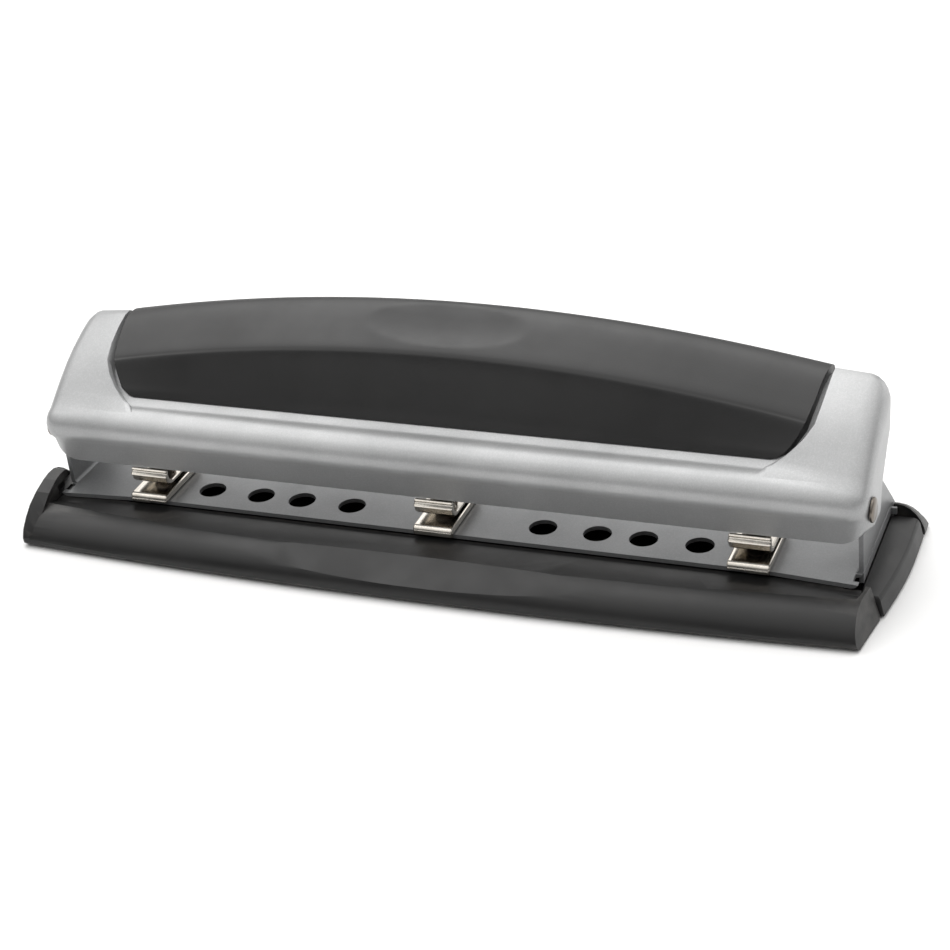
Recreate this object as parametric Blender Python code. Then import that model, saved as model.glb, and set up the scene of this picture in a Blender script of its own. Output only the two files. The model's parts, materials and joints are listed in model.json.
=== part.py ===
"""A three hole punch: a steel frame with three punch heads, a lever handle and a chip tray.

X runs along the punch, Y from its front to its back and Z up. The origin is on the table, under
the middle of the punch. Sizes are in millimetres; place() turns them into metres. Outlines count X
from the middle punch head, Y from the line of the punched holes and Z from the top of the plate.
"""

import math

import bmesh
import bpy
from mathutils import Matrix, Vector

MM = 0.001

# The datum lines, seen from the origin.
PLATE_TOP = 11.6
PUNCH_LINE_Y = -4.3
CENTRE_HEAD_X = -2.2
TABLE = -PLATE_TOP

GAP = 0.3

# Punch heads: four and a quarter inches apart, with spare hole positions between them.
HEAD_X = (-107.95, 0.0, 107.95)
HEAD_NAMES = ("left", "center", "right")
HEAD_WIDTH = 13.84
SPARE_HOLES = (34.925, 53.975, 69.85, 88.9)
PLATE_HOLE_RADIUS = 4.8
PIN_RADIUS = 3.57
PIN_HOLE_RADIUS = 3.7
LOWER_JAW = (GAP, 2.7)
UPPER_JAW = (4.9, 6.1)
PAPER_STOP_Y = 12.5
SCREW_Y = 19.0
SCREW_RADIUS = 1.4
SCREW_HOLE_RADIUS = 1.65

# Steel frame: one bent sheet, a plate with an ear at each end.
SHEET = 1.5
EAR_INNER_X = 141.9
EAR_OUTER_X = EAR_INNER_X + SHEET
PLATE_REAR_Y = 42.0
PLATE_FRONT_Y = -10.5
PLATE_CORNER_Y = -12.9
BEND_RADIUS = 1.2

# Handle: it turns about the rivets and is pressed down at its back.
PIVOT = (-4.5, 23.0)
HANDLE_TRAVEL_DEG = 40.0
CAM_RADIUS = 6.5
SHELL_HALF = 145.6
SHELL_END_RADIUS = 6.5
CAVITY_END_RADIUS = 2.0
CAVITY_HALF = 143.8
SEAT_DEPTH = 3.8
GRIP_WALL = 2.2
GRIP_DROP = 12.9
RIVET_RADIUS = 2.0
RIVET_HEAD_RADIUS = 4.1
EAR_LOBE_RADIUS = 3.7

# Chip tray.
TRAY_BOTTOM = -11.0
TRAY_FLOOR = -9.2
TRAY_REAR_Y = 46.0
TRAY_RIM = -(SHEET + 0.35)
TRAY_HALF = 148.6
FIN_INNER_X = -144.1
WALL_INNER_X = -144.35
TRAY_WALL_X = (137.0, 138.6)
TRAY_HINGE = (-146.6, -3.4)
TAB_Y = (-12.2, 38.2)
TAB_TOP = -4.0
LUG_Y = (4.0, 26.7)
LUG_LENGTH = 4.0

# Pin caps and springs.
CAP_BOTTOM = 15.5
CAP_TOP = 17.0
CAP_RADIUS = 4.8
PIN_TIP = 5.2
SPRING_WIRE = 0.35
SPRING_RADIUS = 4.25
SPRING_TURNS = 4.5


def place(x, y, z):
    """A point of the design, in metres from the origin."""
    return Vector(((x + CENTRE_HEAD_X) * MM, (y + PUNCH_LINE_Y) * MM, (z + PLATE_TOP) * MM))


def clear_scene():
    for item in list(bpy.data.objects):
        bpy.data.objects.remove(item, do_unlink=True)


def make_material(name, colour, roughness, metallic):
    material = bpy.data.materials.new(name)
    material.use_nodes = True
    shader = material.node_tree.nodes["Principled BSDF"]
    shader.inputs["Base Color"].default_value = (*colour, 1.0)
    shader.inputs["Roughness"].default_value = roughness
    shader.inputs["Metallic"].default_value = metallic
    return material


def make_materials():
    return {
        "silver": make_material("silver_paint", (0.42, 0.43, 0.43), 0.38, 0.3),
        "grey": make_material("grey_paint", (0.30, 0.31, 0.32), 0.45, 0.1),
        "black": make_material("black_plastic", (0.022, 0.022, 0.024), 0.5, 0.0),
        "grip": make_material("grip_plastic", (0.018, 0.018, 0.019), 0.6, 0.0),
        "nickel": make_material("nickel_plate", (0.62, 0.59, 0.54), 0.22, 1.0),
        "steel": make_material("dark_steel", (0.16, 0.14, 0.12), 0.35, 1.0),
        "rubber": make_material("foot_rubber", (0.03, 0.03, 0.03), 0.8, 0.0),
    }


def body_empty(name, point):
    """An empty on a body's joint axis; the body's pieces are its children."""
    empty = bpy.data.objects.new(name, None)
    empty.location = point
    empty.empty_display_size = 0.01
    bpy.context.collection.objects.link(empty)
    return empty


def make_object(name, mesh, material, parent=None):
    piece = bpy.data.objects.new(name, mesh)
    bpy.context.collection.objects.link(piece)
    mesh.materials.clear()
    if material is not None:
        mesh.materials.append(material)
    if parent is not None:
        piece.parent = parent
        piece.matrix_parent_inverse = Matrix.Translation(-parent.location)
    return piece


def smooth(mesh, angle_deg=35.0):
    mesh.shade_smooth()
    mesh.set_sharp_from_angle(angle=math.radians(angle_deg))


def finish_mesh(name, build, smooth_deg=35.0):
    """Turns a filled bmesh into a mesh with its faces pointing out."""
    bmesh.ops.recalc_face_normals(build, faces=build.faces)
    if build.calc_volume(signed=True) < 0.0:
        bmesh.ops.reverse_faces(build, faces=build.faces)
    mesh = bpy.data.meshes.new(name)
    build.to_mesh(mesh)
    build.free()
    smooth(mesh, smooth_deg)
    return mesh


def ladder(build, upper, lower):
    """Fills an end that isn't flat with triangles between its upper and lower edges."""
    i = 0
    j = 0
    while i < len(upper) - 1 or j < len(lower) - 1:
        above_next = j == len(lower) - 1
        if i < len(upper) - 1 and j < len(lower) - 1:
            above_next = upper[i + 1].co.y < lower[j + 1].co.y
        if above_next:
            build.faces.new((upper[i], upper[i + 1], lower[j]))
            i += 1
        else:
            build.faces.new((upper[i], lower[j + 1], lower[j]))
            j += 1


def is_warped(face):
    """Whether a four-sided face isn't flat."""
    a, b, c, d = (corner.co for corner in face.verts)
    return abs((d - a).dot((b - a).cross(c - a).normalized())) > 1e-7


def loft_mesh(name, rings, smooth_deg=35.0, upper_count=0):
    """A closed skin over rings that all have the same number of points."""
    build = bmesh.new()
    rows = [[build.verts.new(point) for point in ring] for ring in rings]
    count = len(rows[0])
    for first, second in zip(rows, rows[1:]):
        for i in range(count):
            j = (i + 1) % count
            build.faces.new((first[i], first[j], second[j], second[i]))
    bmesh.ops.triangulate(build, faces=[face for face in build.faces if is_warped(face)])
    for row in (rows[0], rows[-1]):
        if upper_count:
            ladder(build, row[:upper_count], row[:upper_count - 1:-1])
        else:
            build.faces.new(row)
    return finish_mesh(name, build, smooth_deg)


def prism_x(name, outline, x_low, x_high):
    """An outline of (y, z) points carried along X."""
    return loft_mesh(name, [[place(x, y, z) for y, z in outline] for x in (x_low, x_high)])


def prism_y(name, outline, y_low, y_high):
    """An outline of (x, z) points carried along Y."""
    return loft_mesh(name, [[place(x, y, z) for x, z in outline] for y in (y_low, y_high)])


def prism_z(name, outline, z_low, z_high):
    """An outline of (x, y) points carried along Z."""
    return loft_mesh(name, [[place(x, y, z) for x, y in outline] for z in (z_low, z_high)])


def block(name, x, y, z):
    outline = [(y[0], z[0]), (y[1], z[0]), (y[1], z[1]), (y[0], z[1])]
    return prism_x(name, outline, *x)


def circle(radius, segments, centre=(0.0, 0.0)):
    turns = [2 * math.pi * i / segments for i in range(segments)]
    return [(centre[0] + radius * math.cos(t), centre[1] + radius * math.sin(t)) for t in turns]


def turned_mesh(name, profile, centre, segments=32, along="Z"):
    """A profile of (distance along, radius) points turned about an axis; its ends lie on the axis."""
    build = bmesh.new()
    frames = {
        "X": lambda d, u, v: place(centre[0] + d, centre[1] + u, centre[2] + v),
        "Y": lambda d, u, v: place(centre[0] + u, centre[1] + d, centre[2] + v),
        "Z": lambda d, u, v: place(centre[0] + u, centre[1] + v, centre[2] + d),
    }
    put = frames[along]
    rows = []
    for distance, radius in profile:
        if radius == 0.0:
            rows.append([build.verts.new(put(distance, 0.0, 0.0))])
        else:
            ring = circle(radius, segments)
            rows.append([build.verts.new(put(distance, u, v)) for u, v in ring])
    for first, second in zip(rows, rows[1:]):
        for i in range(segments):
            j = (i + 1) % segments
            if len(first) == 1:
                build.faces.new((first[0], second[i], second[j]))
            elif len(second) == 1:
                build.faces.new((first[i], first[j], second[0]))
            else:
                build.faces.new((first[i], first[j], second[j], second[i]))
    return finish_mesh(name, build)


def ring_mesh(name, inner, outer, z_low, z_high, centre, segments=32):
    """A flat-ended tube standing on its end."""
    build = bmesh.new()
    corners = ((inner, z_low), (outer, z_low), (outer, z_high), (inner, z_high))
    rows = []
    for radius, height in corners:
        points = circle(radius, segments, centre)
        rows.append([build.verts.new(place(x, y, height)) for x, y in points])
    for first, second in zip(rows, rows[1:] + rows[:1]):
        for i in range(segments):
            j = (i + 1) % segments
            build.faces.new((first[i], first[j], second[j], second[i]))
    return finish_mesh(name, build)


def rounded(points, steps=4):
    """A closed outline of (y, z, radius) corners with each corner turned into an arc."""
    outline = []
    count = len(points)
    for i, (y, z, radius) in enumerate(points):
        here = Vector((y, z))
        if radius == 0.0:
            outline.append((y, z))
            continue
        back = (Vector(points[i - 1][:2]) - here).normalized()
        ahead = (Vector(points[(i + 1) % count][:2]) - here).normalized()
        half = back.angle(ahead) / 2
        centre = here + (back + ahead).normalized() * (radius / math.sin(half))
        start = here + back * (radius / math.tan(half)) - centre
        end = here + ahead * (radius / math.tan(half)) - centre
        first = math.atan2(start.y, start.x)
        sweep = math.remainder(math.atan2(end.y, end.x) - first, 2 * math.pi)
        for k in range(steps + 1):
            turn = first + sweep * k / steps
            outline.append((centre.x + radius * math.cos(turn), centre.y + radius * math.sin(turn)))
    return outline


def inset(outline, distance):
    """An outline whose points move inwards by a distance, along the mean of their edges' normals."""
    outline = list(outline)
    area = sum(a[0] * b[1] - b[0] * a[1] for a, b in zip(outline, outline[1:] + outline[:1]))
    side = 1.0 if area > 0 else -1.0
    moved = []
    for i, (y, z) in enumerate(outline):
        before = outline[i - 1]
        after = outline[(i + 1) % len(outline)]
        edge_in = Vector((y - before[0], z - before[1])).normalized()
        edge_out = Vector((after[0] - y, after[1] - z)).normalized()
        along = (edge_in + edge_out).normalized()
        share = max(along.dot(edge_in), 0.5)
        normal = Vector((-along.y, along.x)) * side
        moved.append((y + normal.x * distance / share, z + normal.y * distance / share))
    return moved


def make_cutter(name, mesh):
    cutter = make_object(name, mesh, None)
    cutter.hide_render = True
    cutter.display_type = "WIRE"
    return cutter


def combine(piece, other, operation="DIFFERENCE"):
    step = piece.modifiers.new(other.name, "BOOLEAN")
    step.operation = operation
    step.solver = "EXACT"
    step.object = other


def cut(piece, name, mesh):
    combine(piece, make_cutter(name, mesh))


def join(piece, name, mesh):
    combine(piece, make_cutter(name, mesh), "UNION")


def smoothstep(low, high, value):
    share = min(max((value - low) / (high - low), 0.0), 1.0)
    return share * share * (3 - 2 * share)


# Steel frame


def ear_outline():
    """The side view of an ear: a post at the front, a lobe round the rivet and a sloping back."""
    lobe = []
    for degrees in range(200, 59, -20):
        turn = math.radians(degrees)
        y = PIVOT[0] + EAR_LOBE_RADIUS * math.cos(turn)
        lobe.append((y, PIVOT[1] + EAR_LOBE_RADIUS * math.sin(turn)))
    return [(-5.5, -3.0), (-5.5, 14.5), *lobe, (12.5, 25.6), (15.5, 25.2), (45.0, -3.5)]


def frame_section():
    """The bent sheet seen along Y: a channel with two tall sides."""
    top = 32.0
    outer = BEND_RADIUS + SHEET
    corners = [
        (-EAR_OUTER_X, top, 0.0),
        (-EAR_OUTER_X, -SHEET, outer),
        (EAR_OUTER_X, -SHEET, outer),
        (EAR_OUTER_X, top, 0.0),
        (EAR_INNER_X, top, 0.0),
        (EAR_INNER_X, 0.0, BEND_RADIUS),
        (-EAR_INNER_X, 0.0, BEND_RADIUS),
        (-EAR_INNER_X, top, 0.0),
    ]
    return rounded(corners, 5)


def front_edge_cutter():
    """What is cut from the front of the plate: its edge runs forwards to the corners."""
    corner = (150.0, PLATE_CORNER_Y - 0.4)
    edge = [(-corner[0], corner[1]), (-115.5, PLATE_FRONT_Y), (115.5, PLATE_FRONT_Y), corner]
    return prism_z("cut_plate_front", [*edge, (150.0, -30.0), (-150.0, -30.0)], -6.0, 4.0)


def ear_waste(side):
    """All of a side wall that isn't the ear."""
    outline = ear_outline()
    low = (-5.5, 0.0)
    front = [(-20.0, 0.0), (-20.0, 40.0), (60.0, 40.0), (60.0, -0.2), (42.0, -0.2)]
    edge = [point for point in outline if point[1] > 0.0]
    ring = [low, *front[:4], (41.7, -0.2), *reversed(edge)]
    x = sorted((side * (EAR_INNER_X - 0.9), side * (EAR_OUTER_X + 3.0)))
    return prism_x("cut_ear_waste", ring, *x)


def corner_notch(side):
    """The relief between the plate's front corner and the ear."""
    x = sorted((side * 141.0, side * 150.0))
    y = (-10.6, -6.4)
    return block("cut_corner_notch", x, y, (-6.0, 40.0))


def make_frame(materials, body):
    mesh = prism_y("base_plate", frame_section(), PLATE_CORNER_Y, PLATE_REAR_Y)
    plate = make_object("base_plate", mesh, materials["grey"], body)
    cut(plate, "cutter_plate_front", front_edge_cutter())
    for side, label in ((-1, "left"), (1, "right")):
        cut(plate, f"cutter_ear_{label}", ear_waste(side))
        cut(plate, f"cutter_notch_{label}", corner_notch(side))
    holes = [side * x for side in (-1, 1) for x in SPARE_HOLES] + list(HEAD_X)
    for i, x in enumerate(holes):
        hole = prism_z("cut_hole", circle(PLATE_HOLE_RADIUS, 28, (x, 0.0)), -6.0, 3.0)
        cut(plate, f"cutter_hole_{i}", hole)
    for i, x in enumerate(HEAD_X):
        hole = prism_z("cut_screw", circle(SCREW_HOLE_RADIUS, 16, (x, SCREW_Y)), -6.0, 3.0)
        cut(plate, f"cutter_screw_{i}", hole)
    for side, label in ((-1, "left"), (1, "right")):
        hole = circle(RIVET_RADIUS + 0.1, 24, PIVOT)
        x = sorted((side * (EAR_INNER_X - 2), side * (EAR_OUTER_X + 2)))
        cut(plate, f"cutter_rivet_{label}", prism_x("cut_rivet", hole, *x))
    for i, y in enumerate(LUG_Y):
        join(plate, f"lug_{i}", hinge_lug(y))
        bore = circle(0.9, 16, TRAY_HINGE)
        cut(plate, f"cutter_lug_{i}", prism_y("cut_lug", bore, y - 1, y + LUG_LENGTH + 1))
    heel = [(36.0, -1.4), (36.0, 3.0), (38.0, 3.31), (45.0, -3.5), (44.4, -4.3), (43.0, -4.3)]
    skirt = block("skirt", (EAR_INNER_X + 0.1, EAR_OUTER_X - 0.02), (-5.4, 38.0), (TAB_TOP + GAP, 0.0))
    join(plate, "ear_skirt", skirt)
    join(plate, "ear_heel", prism_x("heel", heel, EAR_INNER_X + 0.1, EAR_OUTER_X - 0.02))
    catch = block("catch", (EAR_OUTER_X - 0.6, 145.3), (37.2, 38.4), (-3.4, -1.0))
    join(plate, "catch_tongue", catch)
    return plate


def hinge_lug(y):
    """An eye below the left ear for the chip tray's hinge pin."""
    x, z = TRAY_HINGE
    eye = 1.9
    arc = [math.radians(d) for d in range(100, 341, 24)]
    outline = [(x + eye * math.cos(t), z + eye * math.sin(t)) for t in arc]
    outline += [(-EAR_OUTER_X + 0.5, 0.6), (-EAR_OUTER_X + 0.5, 5.4)]
    return prism_y("lug", outline, y, y + LUG_LENGTH)


# Punch heads


def nose_outline():
    """The punch head from the side: a lower jaw, a paper stop and an upper jaw with a rolled nose."""
    low, low_top = LOWER_JAW
    floor, floor_top = UPPER_JAW
    stop = PAPER_STOP_Y
    foot_end = 24.0
    return [
        (-10.9, -0.9),
        (-11.7, -0.9),
        (-12.3, -0.3),
        (-12.5, 0.6),
        (-12.3, 1.6),
        (-11.7, 2.4),
        (-10.9, low_top),
        (stop, low_top),
        (stop, floor),
        (-5.8, floor),
        (-7.6, 5.4),
        (-8.8, 6.6),
        (-9.3, 8.2),
        (-9.8, 8.8),
        (-9.7, 9.4),
        (-9.0, 9.8),
        (-8.9, 10.2),
        (-9.1, 10.7),
        (-8.7, 11.1),
        (-7.8, 11.1),
        (-7.5, 10.6),
        (-7.6, 8.4),
        (-7.0, 7.0),
        (-6.0, 6.3),
        (-5.0, floor_top),
        (stop + 0.8, floor_top),
        (stop + 1.4, floor_top - 0.6),
        (stop + 1.4, 1.5),
        (foot_end, 1.5),
        (foot_end, low),
        (-10.9, low),
    ]


def hook_outline(side):
    """The part of an outer head's lip that is cut short, seen from the front."""
    inner = -side * 8.0
    return [(inner, -2.6), (inner, 0.2), (-side * 0.6, 0.2), (side * 0.6, -1.0), (side * 1.0, -2.6)]


def make_head(name, x, materials, body):
    outline = nose_outline()
    half = HEAD_WIDTH / 2
    edge = 0.35
    rings = []
    for offset, shrink in ((-half, edge), (-half + edge, 0.0), (half - edge, 0.0), (half, edge)):
        rings.append([place(x + offset, y, z) for y, z in inset(outline, shrink * 0.6)])
    head = make_object(name, loft_mesh(name, rings), materials["nickel"], body)
    hole = prism_z("cut_pin", circle(PIN_HOLE_RADIUS, 32, (x, 0.0)), -2.0, 9.0)
    cut(head, f"cutter_{name}", hole)
    screw = prism_z("cut_foot", circle(SCREW_HOLE_RADIUS, 16, (x, SCREW_Y)), -2.0, 4.0)
    cut(head, f"cutter_foot_{name}", screw)
    if x:
        side = 1 if x > 0 else -1
        lip = [(x + u, z) for u, z in hook_outline(side)]
        cut(head, f"cutter_lip_{name}", prism_y("cut_lip", lip, -14.0, -10.8))
    return head


def make_screw(name, x, materials, body):
    bottom = 1.5 + GAP
    top = bottom + 1.7
    profile = [(-3.4, 0.0), (-3.4, SCREW_RADIUS), (bottom, SCREW_RADIUS), (bottom, 2.9)]
    profile += [(top - 0.5, 2.9), (top, 2.3), (top, 1.1), (top - 0.8, 1.0), (top - 0.8, 0.0)]
    mesh = turned_mesh(name, profile, (x, SCREW_Y, 0.0), 24)
    return make_object(name, mesh, materials["nickel"], body)


def make_pin(name, x, materials, body):
    profile = [(PIN_TIP + 1.2, 0.0), (PIN_TIP, PIN_RADIUS - 0.25), (PIN_TIP + 0.2, PIN_RADIUS)]
    profile += [(CAP_BOTTOM - 1.0, PIN_RADIUS), (CAP_BOTTOM - 1.0, 2.4), (CAP_TOP - 0.4, 2.4)]
    profile += [(CAP_TOP - 0.4, 0.0)]
    mesh = turned_mesh(name, profile, (x, 0.0, 0.0), 32)
    return make_object(name, mesh, materials["steel"], body)


def make_cap(name, x, materials, body):
    """The retaining cap that the spring lifts and the press bar pushes."""
    mesh = ring_mesh(name, 2.5, CAP_RADIUS, CAP_BOTTOM, CAP_TOP, (x, 0.0), 24)
    return make_object(name, mesh, materials["nickel"], body)


def make_spring(name, x, materials, body):
    bottom = UPPER_JAW[1] + GAP + SPRING_WIRE
    top = CAP_BOTTOM - GAP - SPRING_WIRE
    steps = 10
    count = int(SPRING_TURNS * steps)
    curve = bpy.data.curves.new(name, "CURVE")
    curve.dimensions = "3D"
    curve.bevel_depth = SPRING_WIRE * MM
    curve.bevel_resolution = 0
    curve.use_fill_caps = True
    line = curve.splines.new("POLY")
    line.points.add(count)
    for i in range(count + 1):
        turn = 2 * math.pi * i / steps
        height = bottom + (top - bottom) * i / count
        point = place(x + SPRING_RADIUS * math.cos(turn), SPRING_RADIUS * math.sin(turn), height)
        line.points[i].co = (*point, 1.0)
    return make_object(name, curve, materials["steel"], body)


# Handle


def shell_top(y):
    """The height of the silver shell's end caps, rising to the back."""
    return 33.0 + 0.809 * (y + 9.0) - 0.0081 * (y + 9.0) ** 2


SHOULDER_Y = (-5.6, -3.6, -1.6, 2.0, 6.0, 12.0, 19.0, 25.0)
REAR_ARC = ((28.6, 51.3), (30.6, 50.0), (31.7, 47.8), (31.8, 44.0), (31.2, 39.0), (30.0, 30.0))
LOWER_FRONT = ((-8.0, 8.0), (-8.6, 11.8), (-11.0, 20.4), (-12.6, 22.0), (-13.9, 24.0), (-14.3, 26.0))
ROLL = ((-14.2, 28.0), (-13.1, 30.4), (-11.2, 32.0), (-8.6, 33.1))


def follow(table, value):
    """Reads a table of (value, result) pairs, in a straight line between its entries."""
    for (low, first), (high, second) in zip(table, table[1:]):
        if value <= high:
            share = min(max((value - low) / (high - low), 0.0), 1.0)
            return first + (second - first) * share
    return table[-1][1]


def grip_half(y):
    return follow(GRIP_ENDS, y)


def shell_outline(lowered):
    """The shell's closed side view; lowered is 1 in the grip's seat and 0 at the end caps."""
    depth = SEAT_DEPTH * lowered
    shoulder = []
    for y in SHOULDER_Y:
        sink = depth * smoothstep(-9.0, -2.2, y)
        shoulder.append((y, shell_top(y) - sink))
    rear = [(y - 0.9 * lowered, min(z, 52.0 - depth)) for y, z in REAR_ARC]
    return [*LOWER_FRONT, *ROLL, *shoulder, *rear, (24.0, 8.0)]


# The flat part of the shell's end wall, point for point within the shell's side view.
END_FACE = (
    (-1.5, 8.0),
    (-2.2, 12.5),
    (-4.7, 20.0),
    (-5.8, 22.6),
    (-6.9, 24.2),
    (-7.6, 25.4),
    (-7.8, 26.2),
    (-7.4, 27.1),
    (-6.4, 27.9),
    (-4.9, 28.7),
    (-1.9, 30.2),
    (0.2, 31.8),
    (2.2, 33.2),
    (5.4, 35.4),
    (9.1, 37.6),
    (14.7, 40.5),
    (20.6, 43.0),
    (23.2, 44.2),
    (24.6, 44.5),
    (25.2, 44.3),
    (25.4, 43.8),
    (25.3, 42.6),
    (24.8, 39.2),
    (23.6, 30.9),
    (17.7, 8.0),
)


# Half of the length of the seat under the grip; it widens round the grip's front corners.
SEAT_ENDS = (
    (-9.0, 109.5),
    (-5.6, 112.0),
    (-3.6, 114.6),
    (-1.6, 117.4),
    (2.0, 121.2),
    (6.0, 123.9),
    (13.0, 125.3),
    (20.0, 126.1),
    (27.0, 126.8),
    (34.0, 127.2),
)


def seat_edge(y):
    return follow(SEAT_ENDS, y)


def between(first, second, share):
    return [(a + (c - a) * share, b + (d - b) * share) for (a, b), (c, d) in zip(first, second)]


def mirrored(rings):
    """The rings on the other side of the middle punch head."""
    middle = 2 * CENTRE_HEAD_X * MM
    return [[Vector((middle - p.x, p.y, p.z)) for p in ring] for ring in rings]


def shell_outer_rings():
    """Rings from the left end to the right; the seat's end follows the grip's slanted ends."""
    caps = shell_outline(0.0)
    seat = shell_outline(1.0)
    ends = []
    for degrees in (90, 72, 54, 36, 18, 0):
        turn = math.radians(degrees)
        x = SHELL_HALF - SHELL_END_RADIUS * (1 - math.sin(turn))
        ends.append([place(x, y, z) for y, z in between(caps, END_FACE, 1 - math.cos(turn))])
    slope = shell_outline(0.35)
    step_out = [place(seat_edge(y) + 3.0 - 0.06 * (y + 9.0), y, z) for y, z in caps]
    step_in = [place(seat_edge(y) + 0.8, y, z) for y, z in slope]
    floor = [place(seat_edge(y), y, z) for y, z in seat]
    middle = [place(40.0, y, z) for y, z in seat]
    right = [*ends, step_out, step_in, floor, middle]
    return mirrored(right) + right[::-1]


SHELL_INSIDE = (
    (-5.6, 2.0),
    (-6.4, 12.0),
    (-9.0, 21.3),
    (-11.0, 23.4),
    (-12.1, 26.0),
    (-12.0, 27.6),
    (-11.3, 29.0),
    (-9.8, 30.2),
    (-7.8, 30.9),
    (-5.0, 31.3),
    (-2.8, 31.5),
    (-0.6, 32.7),
    (2.9, 35.0),
    (6.8, 37.3),
    (12.6, 40.4),
    (19.4, 43.3),
    (23.4, 44.6),
    (25.9, 44.8),
    (27.7, 43.6),
    (28.3, 41.2),
    (28.0, 38.0),
    (27.0, 30.0),
    (27.0, 2.0),
)


def shell_cavity():
    rings = []
    for degrees in (90, 60, 30, 0):
        turn = math.radians(degrees)
        x = CAVITY_HALF - CAVITY_END_RADIUS * (1 - math.sin(turn))
        ring = inset(SHELL_INSIDE, CAVITY_END_RADIUS * (1 - math.cos(turn)))
        rings.append([place(x, y, z) for y, z in ring])
    return loft_mesh("cut_cavity", mirrored(rings) + rings[::-1])


def shell_underside():
    """What lies below the shell's lower edge: front lip, round lobe and slanting back edge."""
    corners = [
        (-30.0, 11.8, 0.0),
        (-6.6, 11.8, 0.0),
        (-5.4, 13.0, 0.0),
        (9.2, 13.0, 3.5),
        (13.0, 23.5, 6.0),
        (21.5, 33.0, 8.0),
        (27.6, 38.5, 3.0),
        (45.0, 38.5, 0.0),
        (45.0, -8.0, 0.0),
        (-30.0, -8.0, 0.0),
    ]
    return prism_x("cut_underside", rounded(corners), -155.0, 155.0)


CORNER_ROUNDING = ((-30.0, 145.2, 10.0), (-8.6, 145.2, 10.0), (-3.5, 146.2, 8.0), (0.5, 146.6, 6.0), (18.0, 146.8, 6.0))


def shell_corner(side):
    """What is taken off the shell's lower corner at one end, to round it off."""
    rings = []
    for y, edge, radius in CORNER_ROUNDING:
        ring = [(160.0, 2.0), (edge - radius, 2.0)]
        for k in range(7):
            turn = math.radians(15.0 * k)
            x = edge - radius * (1 - math.sin(turn))
            ring.append((x, 11.7 + radius * (1 - math.cos(turn))))
        ring.append((160.0, 11.7 + radius))
        rings.append([place(side * x, y, z) for x, z in ring])
    return loft_mesh("cut_shell_corner", rings)


def make_shell(materials, body):
    mesh = loft_mesh("handle_shell", shell_outer_rings(), 28.0)
    shell = make_object("handle_shell", mesh, materials["silver"], body)
    cut(shell, "cutter_cavity", shell_cavity())
    cut(shell, "cutter_underside", shell_underside())
    for side, label in ((-1, "left"), (1, "right")):
        cut(shell, f"cutter_corner_{label}", shell_corner(side))
        hole = circle(RIVET_RADIUS + 0.12, 24, PIVOT)
        x = sorted((side * 143.0, side * 150.0))
        cut(shell, f"cutter_pivot_{label}", prism_x("cut_pivot", hole, *x))
    return shell


GRIP_TOP = (
    (-1.2, 35.3),
    (-0.9, 36.4),
    (-0.1, 39.2),
    (1.2, 43.0),
    (3.2, 49.5),
    (5.2, 56.4),
    (6.2, 58.2),
    (8.0, 59.6),
    (11.5, 61.6),
    (15.0, 63.5),
    (19.0, 65.5),
    (22.5, 66.8),
    (26.0, 67.2),
    (29.0, 66.6),
    (31.2, 65.2),
    (32.8, 62.6),
    (33.5, 58.0),
    (33.7, 46.6),
)

# Half of the grip's length, at distances behind the punch line.
GRIP_ENDS = (
    (-1.2, 113.3),
    (-0.9, 115.4),
    (-0.1, 117.4),
    (1.2, 119.2),
    (3.2, 121.2),
    (5.0, 122.6),
    (6.2, 123.2),
    (13.0, 124.5),
    (20.0, 125.3),
    (27.0, 126.0),
    (34.0, 126.4),
)


def seat_height(y):
    return shell_top(min(y, 31.0)) - SEAT_DEPTH + GAP


GRIP_REAR = ((32.9, 46.6), (32.3, 48.9), (27.4, 48.9))
GRIP_INSIDE = (
    (1.2, 37.4),
    (3.3, 43.5),
    (5.6, 51.1),
    (7.6, 56.9),
    (9.0, 58.6),
    (11.5, 60.5),
    (15.0, 62.6),
    (19.0, 64.8),
    (22.5, 66.3),
    (25.5, 66.8),
    (28.2, 66.3),
    (30.0, 65.2),
    (31.0, 63.3),
    (31.4, 60.5),
    (31.5, 49.1),
)


def arched(x, y, z):
    """A point of the grip's crown, brought down towards the grip's ends."""
    drop = GRIP_DROP * (x / 125.0) ** 2
    if y < 6.2:
        return z - drop * (z - 35.3) / (58.2 - 35.3)
    if y > 26.0:
        return z - drop * (z - 46.6) / (67.2 - 46.6)
    return z - drop


def grip_ring(share):
    """One section of the grip; share runs from -1 at the left end to 1 at the right."""
    ring = []
    for y, z in GRIP_TOP:
        x = share * grip_half(y)
        ring.append(place(x, y, arched(x, y, z)))
    under = [*GRIP_REAR] + [(y, seat_height(y) + 0.1) for y in (25.0, 19.0, 12.0, 6.0, 2.0)]
    return ring + [place(share * grip_half(y), y, z) for y, z in under]


def hollow_ring(share):
    """One section of the space under the grip, open at the bottom."""
    ring = []
    for y, z in GRIP_INSIDE:
        x = share * (grip_half(y) - GRIP_WALL)
        ring.append(place(x, y, arched(x, y, z) - 2.5))
    reach = share * (grip_half(12.0) - GRIP_WALL - 4.0)
    return ring + [place(reach, 31.5, 41.5), place(reach, -0.3, 31.0)]


def make_grip(materials, body):
    shares = [k / 8 for k in range(-8, 9)]
    mesh = loft_mesh("grip_cover", [grip_ring(s) for s in shares], 25.0, len(GRIP_TOP))
    grip = make_object("grip_cover", mesh, materials["grip"], body)
    hollow = loft_mesh("cut_grip", [hollow_ring(s) for s in shares], 25.0, len(GRIP_INSIDE))
    cut(grip, "cutter_grip", hollow)
    return grip


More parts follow.
